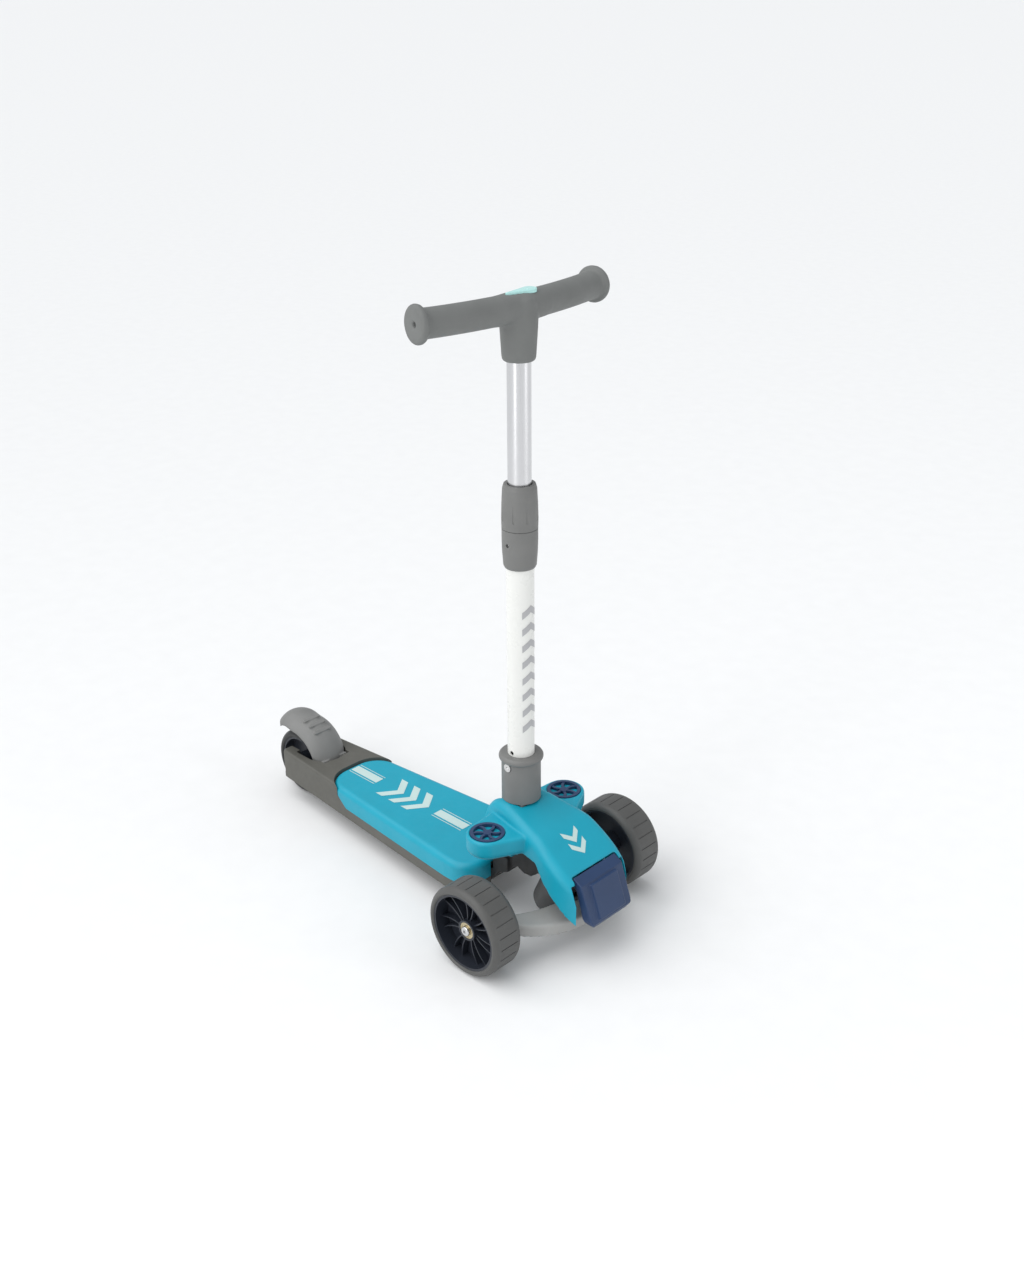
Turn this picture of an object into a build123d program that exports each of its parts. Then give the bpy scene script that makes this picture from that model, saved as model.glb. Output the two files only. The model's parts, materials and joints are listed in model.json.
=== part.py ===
from build123d import *
import math
import os

# Three-wheeled lean-to-steer kick scooter for children.
# Millimetres. +X is forward, +Y is the rider's left, +Z is up.
# The origin is on the floor, under the middle of the bounding box.

# ---------------------------------------------------------------- driving dimensions
FRONT_AXLE_X = 213.0
WHEELBASE = 487.0
STEM_SETBACK = 47.0  # stem axis behind the front axle

FRONT_WHEEL_R = 60.0
FRONT_WHEEL_W = 46.0
FRONT_RIM_R = 51.0
FRONT_TRACK = 265.2  # between the middles of the two front wheels
REAR_WHEEL_R = 50.0
REAR_WHEEL_W = 42.0
REAR_RIM_R = 40.0

DECK_BOTTOM = 31.0
DECK_TOP = 75.0
DECK_HALF_REAR = 40.2
DECK_HALF_FRONT = 72.0
DECK_REAR = -502.0  # the deck's places along X are measured from the front axle
DECK_FRONT = -75.0
DECK_SHOULDER = -120.0  # the deck tapers behind this place
COVER_REAR = -391.0
COVER_SKIRT_Z = 46.0
COVER_WALL = 4.0
COVER_UNDER_Z = 68.0
SCREW_TOP_Z = 72.0  # the deck's screws end inside the cover
COVER_SEAM = 0.5  # the base is cut back this far around the cover, so the cut leaves through its sides

FOLD_Z = 105.0  # height of the pin that the stem folds about
SOCKET_HALF = 18.0  # half the width of the socket's square foot
SOCKET_R = 25.0
SOCKET_STEP_Z = 169.0
SOCKET_TOP_Z = 233.0
SOCKET_BOLT_Z = 219.0
OUTER_TUBE_R = 17.0
INNER_TUBE_R = 14.0
TUBE_WALL = 1.7
CLAMP_BOTTOM_Z = 485.0
CLAMP_SPLIT_Z = 534.0
CLAMP_TOP_Z = 588.0
NECK_BOTTOM_Z = 731.0
BAR_Z = 791.0
BAR_HALF = 143.0
BAR_R = 16.5
BAR_SWEEP = 14.0

KING_D = 20.0  # a point on the steering axis: distance ahead of the front axle, and height
KING_Z = 55.0
KING_TILT = 66.0  # degrees from horizontal, the top leaning forwards
DRUM_R = 29.0

RUN = 0.05  # radial clearance of a shaft that turns in a hole
GAP = 0.3  # clearance between the faces of two parts that move

REAR_AXLE_X = FRONT_AXLE_X - WHEELBASE
STEM_X = FRONT_AXLE_X - STEM_SETBACK
BOLT_R = 4.0
BEARING_R = 11.0
BEARING_W = 7.0
BEARING_INSET = 0.5  # how far a bearing sits inside the end of its boss

MID_LOW = (Align.CENTER, Align.CENTER, Align.MIN)


# ---------------------------------------------------------------- helpers
def ahead(d):
    """X of a place d millimetres ahead of the front axle."""
    return FRONT_AXLE_X + d


def rod(radius, start, end):
    """Round bar from one point to another."""
    a, b = Vector(*start), Vector(*end)
    return Plane(origin=a, z_dir=b - a) * Cylinder(radius, (b - a).length, align=MID_LOW)


def tube(outer, inner, start, end):
    """Round tube from one point to another."""
    return rod(outer, start, end) - rod(inner, start, end)


def block(x0, x1, y0, y1, z0, z1):
    """Box between two corners."""
    return Pos((x0 + x1) / 2, (y0 + y1) / 2, (z0 + z1) / 2) * Box(x1 - x0, y1 - y0, z1 - z0)


def slab(outline, half, middle=0.0):
    """Side outline of (d, z) points, given a width of 2 * half across the scooter."""
    face = make_face(Polyline(*[(ahead(d), z) for d, z in outline], close=True))
    return Pos(0, middle, 0) * extrude(Plane.XZ * face, half, both=True)


def mirrored(shape):
    return mirror(shape, Plane.XZ)


def both_sides(shape):
    return shape + mirrored(shape)


def hexagon(across_flats, start, end):
    """Hexagonal bar, such as a nut or a socket's key hole."""
    a, b = Vector(*start), Vector(*end)
    face = Plane(origin=a, z_dir=b - a) * RegularPolygon(across_flats / 2, 6, major_radius=False)
    return extrude(face, (b - a).length, dir=b - a)


def turned(points):
    """Solid of revolution about Z from (radius, z) points."""
    return revolve(make_face(Polyline(*[(r, 0, z) for r, z in points], close=True)), Axis.Z, 360)


def on_stem(shape):
    return Pos(STEM_X, 0, 0) * shape


def king_point(s):
    """Point on the steering axis, s along it from its lower reference point."""
    t = math.radians(KING_TILT)
    return (ahead(KING_D) + s * math.cos(t), 0, KING_Z + s * math.sin(t))


def king_rod(radius, s0, s1):
    return rod(radius, king_point(s0), king_point(s1))


def coil(wire, radius, turns, start, end):
    """Helical spring of round wire between two points."""
    a, b = Vector(*start), Vector(*end)
    length = (b - a).length - 2 * wire
    path = Helix(length / turns, length, radius)
    section = Plane(origin=path @ 0, z_dir=path % 0) * Circle(wire)
    spring = sweep(section, path, is_frenet=True)
    return Plane(origin=a, z_dir=b - a) * Pos(0, 0, wire) * spring


# ---------------------------------------------------------------- deck
def deck_plan(rear, rear_half, corner, inset=0.0):
    """Plan of the deck from a rear end to its front, with round corners."""
    front = DECK_FRONT - inset
    side = DECK_HALF_FRONT - inset
    half = rear_half - inset
    back = rear + inset
    right = [(ahead(back), -half), (ahead(DECK_SHOULDER), -side), (ahead(front), -side)]
    left = [(x, -y) for x, y in reversed(right)]
    face = make_face(Polyline(*right, *left, close=True))
    ends = face.vertices().sort_by(Axis.X)
    face = fillet(ends[:2], corner)
    tips = face.vertices().sort_by(Axis.X)
    return fillet([tips[-1], tips[-2]], 34 - inset)


def half_width_at(d):
    t = (d - DECK_REAR) / (DECK_SHOULDER - DECK_REAR)
    return DECK_HALF_REAR + t * (DECK_HALF_FRONT - DECK_HALF_REAR)


def cover_solid(inset, z0, z1):
    plan = deck_plan(COVER_REAR, half_width_at(COVER_REAR), 40 - inset, inset)
    return Pos(0, 0, z0) * extrude(plan, z1 - z0)


def skirt_end():
    """Slanted rear ends of the cover's two side skirts, which belong to the base instead."""
    return slab([(-410, COVER_SKIRT_Z - 2), (-410, COVER_UNDER_Z), (-372, COVER_UNDER_Z),
                 (-338, COVER_SKIRT_Z - 2)], 90)


def screw_places():
    return [(d, side * y) for d, y in ((-365, 34), (-250, 44), (-120, 50)) for side in (-1, 1)]


def underside_cells():
    """Hollows in the underside of the deck, with the ribs and screw posts left standing."""
    roof = COVER_UNDER_Z - 4
    plan = deck_plan(-412, half_width_at(-412), 10, 7)
    room = Pos(0, 0, DECK_BOTTOM - 1) * extrude(plan, roof - DECK_BOTTOM + 1)
    for i in range(6):
        d = -368 + i * 50
        room -= block(ahead(d), ahead(d + 2.5), -80, 80, 0, 80)
    for y in (-42, -15, 12, 39):
        room -= block(ahead(-420), ahead(-60), y, y + 3, 0, 80)
    for d, y in screw_places():
        room -= Pos(ahead(d), y, 40) * Cylinder(6.5, 60)
    return room - block(ahead(-156), ahead(-60), -34, 34, 0, 80)


FORK_HALF = 23.5
ARM_SEAT = 35.0  # where the rear axle's head bears on the left fork arm
AXLE_END = -34.5
NUT_FLOOR = -30.0  # bottom of the pocket for the nut, in the right arm
FORK_FRONT = -423.0
BRAKE_PIN = (-429.0, 60.0)

SEAT_Z = 63.0  # floor of the seat for the mudguard's foot


def fender_seat_plan(half, front):
    """Plan of the mudguard's foot, and of the seat cut for it in the deck."""
    straight = [(ahead(-450), -half), (ahead(-480), -half), (ahead(-480), half), (ahead(-450), half)]
    nose = ThreePointArc(straight[0], (ahead(front), 0), straight[-1])
    return make_face([Polyline(*straight), nose])


def deck_base():
    body = Pos(0, 0, DECK_BOTTOM) * extrude(
        deck_plan(DECK_REAR, DECK_HALF_REAR, 7), DECK_TOP - DECK_BOTTOM
    )
    top_rear = body.edges().group_by(Axis.Z)[-1]
    body = fillet(top_rear, 4)
    body -= cover_solid(-COVER_SEAM, COVER_SKIRT_Z, DECK_TOP + 1) - skirt_end()
    body += cover_solid(COVER_WALL, COVER_SKIRT_Z - 1, COVER_UNDER_Z)
    body -= underside_cells()
    # pocket for the tongue of the neck bracket, open below and in front
    body -= block(ahead(-150), ahead(DECK_FRONT + 5), -29.5, 29.5, DECK_BOTTOM - 1, 58)
    # fork for the rear wheel
    body -= block(ahead(DECK_REAR - 10), ahead(FORK_FRONT), -FORK_HALF, FORK_HALF, 0, 100)
    body -= both_sides(block(ahead(DECK_REAR - 1), ahead(DECK_REAR + 5), 35, 50, 37, 47))
    # seat for the foot of the mudguard, with a round front
    body -= Pos(0, 0, SEAT_Z) * extrude(fender_seat_plan(FENDER_HALF + 2, FORK_FRONT + 2.5), 20)
    # the rear axle goes in from the left and screws into a nut held in the right arm
    x, z = REAR_AXLE_X, REAR_WHEEL_R
    body -= rod(BOLT_R, (x, AXLE_END - 0.5, z), (x, 60, z))
    body -= rod(8.5, (x, ARM_SEAT, z), (x, 60, z))
    body -= hexagon(13, (x, NUT_FLOOR, z), (x, -FORK_HALF + 1, z))
    # brake pin holes
    pin = (ahead(BRAKE_PIN[0]), BRAKE_PIN[1])
    body -= rod(3, (pin[0], -34, pin[1]), (pin[0], 34, pin[1]))
    for d, y in screw_places():
        body += Pos(ahead(d), y, 50) * Cylinder(5, COVER_UNDER_Z - 50, align=MID_LOW)
        body -= Pos(ahead(d), y, 40) * Cylinder(2, 30, align=MID_LOW)
        body -= Pos(ahead(d), y, DECK_BOTTOM - 1) * Cylinder(4.4, 50 - DECK_BOTTOM + 1, align=MID_LOW)
    for d, y in bracket_bolt_places():
        body -= Pos(ahead(d), y, 50) * Cylinder(3, 30, align=MID_LOW)
    return body


def deck_cover():
    shell = cover_solid(0, COVER_SKIRT_Z + GAP, DECK_TOP - 1)
    shell = fillet(shell.edges().group_by(Axis.Z)[-1], COVER_ROUND) - skirt_end()
    shell -= cover_solid(COVER_WALL, COVER_SKIRT_Z - 1, COVER_UNDER_Z)
    shell -= block(ahead(-90), ahead(DECK_FRONT + 5), -29.5, 29.5, COVER_SKIRT_Z - 1, COVER_UNDER_Z)
    for d, y in screw_places():
        shell -= Pos(ahead(d), y, 50) * Cylinder(2, SCREW_TOP_Z + 0.5 - 50, align=MID_LOW)
    return shell


def deck_screws():
    screws = []
    for d, y in screw_places():
        head = Pos(ahead(d), y, 47.2) * Cylinder(4, 2.8, align=MID_LOW)
        head -= Pos(ahead(d), y, 47.2) * Box(5, 1.2, 1.2, align=MID_LOW)
        head -= Pos(ahead(d), y, 47.2) * Box(1.2, 5, 1.2, align=MID_LOW)
        screws.append(head + Pos(ahead(d), y, 50) * Cylinder(2, SCREW_TOP_Z - 50, align=MID_LOW))
    return Compound(children=screws)


def rear_axle_bolt():
    x, z = REAR_AXLE_X, REAR_WHEEL_R
    bolt = rod(BOLT_R, (x, AXLE_END, z), (x, ARM_SEAT, z))
    head = rod(7, (x, ARM_SEAT, z), (x, ARM_SEAT + 4, z))
    return bolt + head - hexagon(5, (x, ARM_SEAT + 2, z), (x, ARM_SEAT + 5, z))


def rear_axle_nut():
    x, z = REAR_AXLE_X, REAR_WHEEL_R
    nut = hexagon(13, (x, NUT_FLOOR, z), (x, NUT_FLOOR + 6, z))
    return nut - rod(BOLT_R, (x, NUT_FLOOR - 1, z), (x, NUT_FLOOR + 7, z))


def rear_axle_spacers():
    x, z = REAR_AXLE_X, REAR_WHEEL_R
    bearing_end = REAR_BOSS[1] - BEARING_INSET
    ring = tube(6, BOLT_R, (x, bearing_end + GAP, z), (x, FORK_HALF, z))
    return Compound(children=[ring, mirrored(ring)])


def brake_pin():
    x, z = ahead(BRAKE_PIN[0]), BRAKE_PIN[1]
    return rod(3, (x, -34, z), (x, 34, z))


def brake_spring():
    x, z = ahead(BRAKE_PIN[0]), BRAKE_PIN[1]
    return coil(0.7, 4.4, 4, (x, -9, z), (x, 9, z))


# ---------------------------------------------------------------- neck bracket
def bracket_bolt_places():
    return [(d, side * 18) for d in (-135, -100) for side in (-1, 1)]


LATCH_Z0 = 124.0
LATCH_Z1 = 132.0
LATCH_HALF = 10.0
PEDAL_PIN = (66.0, 103.0)
HOUSING_SCREW = (-56.0, 109.0)
CHEEK_IN = SOCKET_HALF + 0.4
CHEEK_OUT = CHEEK_IN + 5.8
WALL_D = -STEM_SETBACK + SOCKET_HALF + 0.4  # front wall of the slot for the socket's foot


def neck_bracket():
    floor_z = FOLD_Z - SOCKET_HALF - 0.6
    tongue = slab([(-150, 37), (-78, 37), (-60, 58), (-44, 66), (-44, floor_z), (-72, floor_z),
                   (-72, 58), (-150, 58)], 29.3)
    lobe = slab([(-46, 66), (-34, 84), (-30, 77), (-20, 73), (-8, 74), (4, 84), (22, 86), (34, 104),
                 (20, 112), (WALL_D, 112), (WALL_D, floor_z), (-46, floor_z)], CHEEK_OUT)
    wall = block(ahead(WALL_D), ahead(0), -CHEEK_OUT, CHEEK_OUT, 100, 140)
    cheek = slab([(-72, 60), (-20, 84), (-20, 140), (-32, 150), (-58, 150), (-72, 136)],
                 (CHEEK_OUT - CHEEK_IN) / 2, (CHEEK_OUT + CHEEK_IN) / 2)
    body = tongue + lobe + wall + cheek + mirrored(cheek)
    body += king_rod(22, 22, 52)
    body += king_rod(17, 8, 22)
    body -= king_rod(5, -10, 70)
    body -= king_rod(40, -40, 8)
    # the foot of the socket swings here
    body -= block(ahead(-110), ahead(WALL_D), -CHEEK_IN, CHEEK_IN, floor_z, 170)
    # guide for the latch
    body -= block(ahead(-60), ahead(60), -LATCH_HALF - GAP, LATCH_HALF + GAP, LATCH_Z0 - GAP,
                  LATCH_Z1 + GAP)
    body -= rod(5, (STEM_X, -30, FOLD_Z), (STEM_X, 30, FOLD_Z))
    x, z = ahead(HOUSING_SCREW[0]), HOUSING_SCREW[1]
    body -= rod(1.8, (x, -30, z), (x, 30, z))
    for d, y in bracket_bolt_places():
        body -= Pos(ahead(d), y, 30) * Cylinder(3, 40, align=MID_LOW)
    return body


def bracket_bolts():
    bolts = []
    for d, y in bracket_bolt_places():
        head = Pos(ahead(d), y, 33.5) * Cylinder(5.5, 3.5, align=MID_LOW)
        head -= extrude(Pos(ahead(d), y, 33.4) * RegularPolygon(2, 6, major_radius=False), 2)
        bolts.append(head + Pos(ahead(d), y, 37) * Cylinder(3, 29, align=MID_LOW))
    return Compound(children=bolts)


def fold_pin():
    return rod(5, (STEM_X, -CHEEK_OUT, FOLD_Z), (STEM_X, CHEEK_OUT, FOLD_Z))


def kingpin_bolt():
    bolt = king_rod(5, -22.5, 60) + king_rod(8.5, -28, -22.5)
    return bolt - hexagon(6, king_point(-28.5), king_point(-25))


def kingpin_nut():
    return hexagon(16, king_point(52), king_point(59)) - king_rod(5, 51, 61)


def steering_bushing():
    return king_rod(19, -7.5, 7.8) - king_rod(10, -8, 9)


# ---------------------------------------------------------------- front housing
EAR_D = -38.0
EAR_Y = 71.0
EAR_R = 27.0
EAR_TOP = 150.0
EAR_BOTTOM = 122.0
CAP_R = 22.0
LIP_Z = 77.0  # bottom of the housing's rear lip, clear of the deck's flat top
NOSE_SHOULDER = 13.0  # rounding between the top of the nose and its sides
EAR_ROUND_TOP = 4.0
EAR_ROUND_BOTTOM = 11.0
COVER_ROUND = 9.0


def ear_plan(inset=0.0):
    """Outline from the fan cap's round pad to the middle of the housing."""
    pad = Pos(ahead(EAR_D), EAR_Y) * Circle(EAR_R - inset)
    root = Pos(ahead(-26), 10) * Circle(44 - inset)
    return make_hull(pad.edges() + root.edges())


def nose_solid(inset):
    """Outer form of the nose, or its inner form when inset."""
    top = [(-100, LIP_Z), (-97, 108), (-89, 136), (-79, 155), (-64, 166), (-47, 168.5), (-28, 166.5),
           (0, 159.5), (30, 151.5), (50, 138.5), (70, 125), (82, 116)]
    under = [(100, 60), (94, 56), (76, 68), (62, 80), (40, 100), (24, 122), (-8, 122), (-20, 104),
             (-75, 90), (-77, LIP_Z)]
    shift = [(d, z - inset) for d, z in top]
    side = Spline(*[(ahead(d), z) for d, z in shift])
    lower = Polyline((ahead(82), 116 - inset), *[(ahead(d), z) for d, z in under],
                     (ahead(-100), LIP_Z - inset))
    profile = make_face([side, lower])
    body = extrude(Plane.XZ * profile, 70, both=True)
    half = [(-101, 31), (-64, 33), (-30, 40), (0, 46), (25, 51), (52, 54), (80, 51), (101, 43)]
    right = [(ahead(d), -(w - inset)) for d, w in half]
    left = [(x, -y) for x, y in reversed(right)]
    plan = make_face([Spline(*right), Line(right[-1], left[0]), Spline(*left), Line(left[-1], right[0])])
    body = body & Pos(0, 0, 50) * extrude(plan, 130)
    shoulders = [e for e in body.edges() if e.length > 200 and abs(e.center().Y) > 25]
    return fillet(shoulders, NOSE_SHOULDER - inset)


def front_housing():
    outer = nose_solid(0)
    ears = Pos(0, 0, EAR_BOTTOM) * extrude(ear_plan(), EAR_TOP - EAR_BOTTOM)
    ears = fillet(ears.edges().group_by(Axis.Z)[-1], EAR_ROUND_TOP)
    ears = fillet(ears.edges().group_by(Axis.Z)[0], EAR_ROUND_BOTTOM)
    outer = outer + ears + mirrored(ears)
    inner = nose_solid(3.0) & block(ahead(WALL_D + 2), ahead(120), -80, 80, 0, 200)
    hollow = Pos(0, 0, EAR_BOTTOM - 3) * extrude(ear_plan(EAR_ROUND_BOTTOM), EAR_TOP - 7 - EAR_BOTTOM + 3)
    hollow = (hollow + mirrored(hollow)) - block(ahead(-101), ahead(-20), -31, 31, 0, 200)
    body = outer - inner - hollow
    # the mouth that the pedal fills, and the open underside of the nose
    mouth = block(ahead(60), ahead(130), -40.5, 40.5, 40, 130)
    lintel = block(ahead(60), ahead(76), -60, 60, 114, 140)
    body -= mouth - lintel
    body -= block(ahead(WALL_D + 2), ahead(120), -47, 47, 40, 112)
    # room for the bracket's cheeks below the lips, and the slot that the stem folds through
    body -= block(ahead(-73), ahead(WALL_D + 30), -CHEEK_OUT - 0.2, CHEEK_OUT + 0.2, 60, 151)
    body -= block(ahead(-110), ahead(WALL_D), -CHEEK_IN, CHEEK_IN, 60, 190)
    body -= king_rod(DRUM_R + 3, -40, 24)
    for side in (-1, 1):
        x, y = ahead(EAR_D), side * EAR_Y
        body -= Pos(x, y, EAR_TOP - 4) * Cylinder(CAP_R + 0.2, 10, align=MID_LOW)
        body -= Pos(x, y, EAR_BOTTOM) * Cylinder(1.5, 40, align=MID_LOW)
        lug = block(ahead(61), ahead(71), 0, 5, 97, 126)
        body += Pos(0, side * 24.5 - 2.5, 0) * lug & nose_solid(1)
    x, z = ahead(HOUSING_SCREW[0]), HOUSING_SCREW[1]
    body -= rod(1.8, (x, -40, z), (x, 40, z))
    body -= both_sides(rod(3.6, (x, 29.5, z), (x, 45, z)))
    x, z = ahead(PEDAL_PIN[0]), PEDAL_PIN[1]
    return body - rod(2.5, (x, -30, z), (x, 30, z))


def fan_cap(side):
    x, y = ahead(EAR_D), side * EAR_Y
    base_z = EAR_TOP - 4
    ring = Cylinder(CAP_R, 4.6, align=MID_LOW) - Cylinder(CAP_R - 4.2, 5, align=MID_LOW)
    hub = Cylinder(5.5, 4.2, align=MID_LOW) + Pos(0, 0, -6) * Cylinder(1.5, 7, align=MID_LOW)
    cap = ring + hub
    for i in range(6):
        arc = ThreePointArc((4, 0), (10.5, 4.2), (18.6, 3.0))
        blade = extrude(trace(arc, 3.3), 3.8)
        cap += Rot(0, 0, i * 60) * blade
    if side < 0:
        cap = mirror(cap, Plane.XZ)
    return Pos(x, y, base_z) * cap


def housing_screws():
    screws = []
    for side in (-1, 1):
        x, z = ahead(HOUSING_SCREW[0]), HOUSING_SCREW[1]
        head = rod(3.6, (x, side * 29.5, z), (x, side * 31.3, z))
        screws.append(head + rod(1.8, (x, side * 20, z), (x, side * 29.5, z)))
    return Compound(children=screws)


# ---------------------------------------------------------------- pedal and latch
def release_pedal():
    face = slab([(77, 119.5), (90, 112), (109, 62), (105, 55), (97, 54), (93, 60), (82, 102),
                 (76, 108)], 40)
    trim = make_face(Polyline((-39, 130), (-37, 52), (37, 52), (39, 130), close=True))
    trim = fillet(trim.vertices().group_by(Axis.Y)[0], 17)
    face &= Pos(ahead(60), 0, 0) * extrude(Plane.YZ * trim, 80)
    pad = slab([(88, 108), (104, 64), (111, 66.5), (95, 110)], 24)
    body = face + pad
    x, z = ahead(PEDAL_PIN[0]), PEDAL_PIN[1]
    lug = slab([(62, 103), (66, 108), (82, 110), (84, 96), (66, 98)], 2.5, 18.5)
    body += both_sides(lug + rod(5, (x, 16, z), (x, 21, z)))
    arm = slab([(62, 101), (70, 101), (72, 106), (50.5, 119), (49.2, 125.4), (46.2, 125.4),
                (46.2, 116)], 6)
    heel = slab([(66, 99), (84, 96), (84, 108), (68, 107)], 6)
    body += arm + heel + rod(5, (x, -6, z), (x, 6, z))
    return body - rod(2.5 + RUN, (x, -30, z), (x, 30, z))


def pedal_pin():
    x, z = ahead(PEDAL_PIN[0]), PEDAL_PIN[1]
    return rod(2.5, (x, -27, z), (x, 27, z))


def pedal_spring():
    x, z = ahead(PEDAL_PIN[0]), PEDAL_PIN[1]
    return coil(0.6, 4.0, 4, (x, 7, z), (x, 15, z))


def latch_bolt():
    nose_d = WALL_D - 4.6
    body = block(ahead(nose_d), ahead(54), -LATCH_HALF, LATCH_HALF, LATCH_Z0, LATCH_Z1)
    body -= block(ahead(45), ahead(50.5), -7, 7, LATCH_Z0 - 1, LATCH_Z1 - 1.6)
    # front top edge cut back to clear the sloping wall of the nose when drawn
    bevel = Plane.XZ * make_face(
        Polyline((ahead(47.5), LATCH_Z1 + 1), (ahead(47.5), LATCH_Z1), (ahead(54.1), LATCH_Z1 - 5.5),
                 (ahead(54.1), LATCH_Z1 + 1), close=True))
    body -= extrude(bevel, LATCH_HALF + 1, both=True)
    return chamfer(body.edges().group_by(Axis.X)[0], 0.6)


# ---------------------------------------------------------------- steering truck
def steering_drum():
    drum = fillet(king_rod(DRUM_R, -22, 16).edges().filter_by(GeomType.CIRCLE), 2.5)
    drum -= king_rod(24.5, -8, 20)
    return drum - king_rod(5 + RUN, -30, 20)


def crescent_plan():
    outer = Pos(ahead(-56), 0) * Circle(134)
    inner = Pos(ahead(-144), 0) * Circle(183)
    window = Pos(ahead(60), 0) * Rectangle(140, 2 * 108.0)
    return (outer - inner) & window


CRESCENT_DROOP = 11.3  # degrees that the bow of the bracket leans down in front


def axle_bracket():
    """Bow-shaped bracket that carries both front axles and is fixed to the steering drum."""
    bow = extrude(crescent_plan(), 9, both=True)
    bow = fillet(bow.edges().group_by(Axis.Z)[-1], 4)
    arm = block(ahead(-8), ahead(26), 94, 108, -9, 6)
    seat = block(ahead(18), ahead(56), -24, 24, -8, 8)
    pivot = Pos(FRONT_AXLE_X, 0, 58)
    body = pivot * Rot(0, CRESCENT_DROOP, 0) * Pos(-FRONT_AXLE_X, 0, 0) * (bow + both_sides(arm) + seat)
    x, z = ahead(0), FRONT_WHEEL_R
    body += both_sides(rod(12, (x, 88, z), (x, 108, z)))
    body -= king_rod(DRUM_R, -60, 60)
    body -= both_sides(rod(BOLT_R, (x, 80, z), (x, 112, z)))
    return body - both_sides(hexagon(13, (x, 87, z), (x, 93, z)))


def front_axle_bolts():
    x, z = ahead(0), FRONT_WHEEL_R
    mid = FRONT_TRACK / 2
    bolt = rod(BOLT_R, (x, 88, z), (x, mid + 14.2, z))
    head = rod(6.6, (x, mid + 14.2, z), (x, mid + 18, z))
    bolt += fillet(head.edges().group_by(Axis.Y)[-1], 2)
    bolt -= hexagon(4, (x, mid + 15.5, z), (x, mid + 19, z))
    return Compound(children=[bolt, mirrored(bolt)])


def front_axle_nuts():
    x, z = ahead(0), FRONT_WHEEL_R
    nut = hexagon(13, (x, 87.5, z), (x, 93, z)) - rod(BOLT_R, (x, 87, z), (x, 94, z))
    return Compound(children=[nut, mirrored(nut)])


def front_axle_spacers():
    x, z = ahead(0), FRONT_WHEEL_R
    ring = tube(7, BOLT_R, (x, 108, z), (x, FRONT_TRACK / 2 - 20.8, z))
    return Compound(children=[ring, mirrored(ring)])


# ---------------------------------------------------------------- wheels, built about Y at the origin
def upright(shape):
    """Turns a wheel made about Z so that its axle lies along Y and its +Z face looks to +Y."""
    return Rot(-90, 0, 0) * shape


def tyre(radius, rim, width):
    half = width / 2
    low, edge = radius - 5.6, half - 9
    crown = Polyline((rim, -half + 1.5), (rim + 1.5, -half), (low, -half))
    shoulder = ThreePointArc((low, -half), (radius - 1.5, -half + 3.2), (radius, -edge))
    tread = Line((radius, -edge), (radius, edge))
    shoulder_2 = ThreePointArc((radius, edge), (radius - 1.5, half - 3.2), (low, half))
    side = Polyline((low, half), (rim + 1.5, half), (rim, half - 1.5), (rim, -half + 1.5))
    face = make_face([crown, shoulder, tread, shoulder_2, side])
    body = revolve(Plane.XZ * face, Axis.Z, 360)
    groove = Pos(radius, 0, 0) * Box(1.6, 1.2, width - 18)
    for i in range(24):
        body -= Rot(0, 0, i * 15) * groove
    return upright(body)


def hub(rim, width, web, boss, spokes):
    """Rim barrel with a dished web, thin spokes and a boss bored for two bearings.

    web: the two faces of the web; boss: the two ends of the boss, both along the axle."""
    half = width / 2 - 2
    body = Cylinder(rim, 2 * half) - Cylinder(rim - 3, 2 * half + 2)
    body += Pos(0, 0, web[0]) * Cylinder(rim - 1, web[1] - web[0], align=MID_LOW)
    body += Pos(0, 0, boss[0]) * Cylinder(BEARING_R + 2.6, boss[1] - boss[0], align=MID_LOW)
    for i in range(spokes):
        for turn in (0, 0.36):
            arc = ThreePointArc((11, 0), ((rim + 11) / 2, 4.5), (rim - 1.5, 2))
            rib = Pos(0, 0, web[1] - 1) * extrude(trace(arc, 1.5), boss[1] - web[1] - 3)
            body += Rot(0, 0, (i + turn) * 360 / spokes) * rib
    body -= Pos(0, 0, boss[0] - 1) * Cylinder(BEARING_R, boss[1] - boss[0] + 2, align=MID_LOW)
    stop = Pos(0, 0, boss[0] + BEARING_W + BEARING_INSET) * Cylinder(
        BEARING_R + 1, boss[1] - boss[0] - 2 * (BEARING_W + BEARING_INSET), align=MID_LOW
    )
    stop -= Cylinder(BEARING_R - 2, 200)
    return upright(body + stop)


def bearings(boss):
    rings = []
    for z in (boss[0] + BEARING_INSET, boss[1] - BEARING_INSET - BEARING_W):
        ring = Pos(0, 0, z) * Cylinder(BEARING_R, BEARING_W, align=MID_LOW)
        ring -= Pos(0, 0, z - 1) * Cylinder(BOLT_R + RUN, BEARING_W + 2, align=MID_LOW)
        lip = Cylinder(9.0, 0.5, align=MID_LOW) - Cylinder(6.4, 0.5, align=MID_LOW)
        ring -= Pos(0, 0, z) * lip
        ring -= Pos(0, 0, z + BEARING_W - 0.5) * lip
        rings.append(upright(ring))
    return Compound(children=rings)


def hub_spacer(boss):
    z0 = boss[0] + BEARING_INSET + BEARING_W
    z1 = boss[1] - BEARING_INSET - BEARING_W
    sleeve = Cylinder(6.2, z1 - z0, align=MID_LOW) - Cylinder(BOLT_R + RUN, z1 - z0, align=MID_LOW)
    return upright(Pos(0, 0, z0) * sleeve)


FRONT_BOSS = (-21.0, 14.5)
FRONT_WEB = (-4.0, 0.0)
REAR_BOSS = (-REAR_WHEEL_W / 2 + 1.0, REAR_WHEEL_W / 2 - 1.0)
REAR_WEB = (-2.0, 2.0)


def wheel(radius, rim, width, web, boss, spokes):
    return {
        "tyre": tyre(radius, rim, width),
        "hub": hub(rim, width, web, boss, spokes),
        "bearings": bearings(boss),
        "hub_spacer": hub_spacer(boss),
    }


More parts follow.
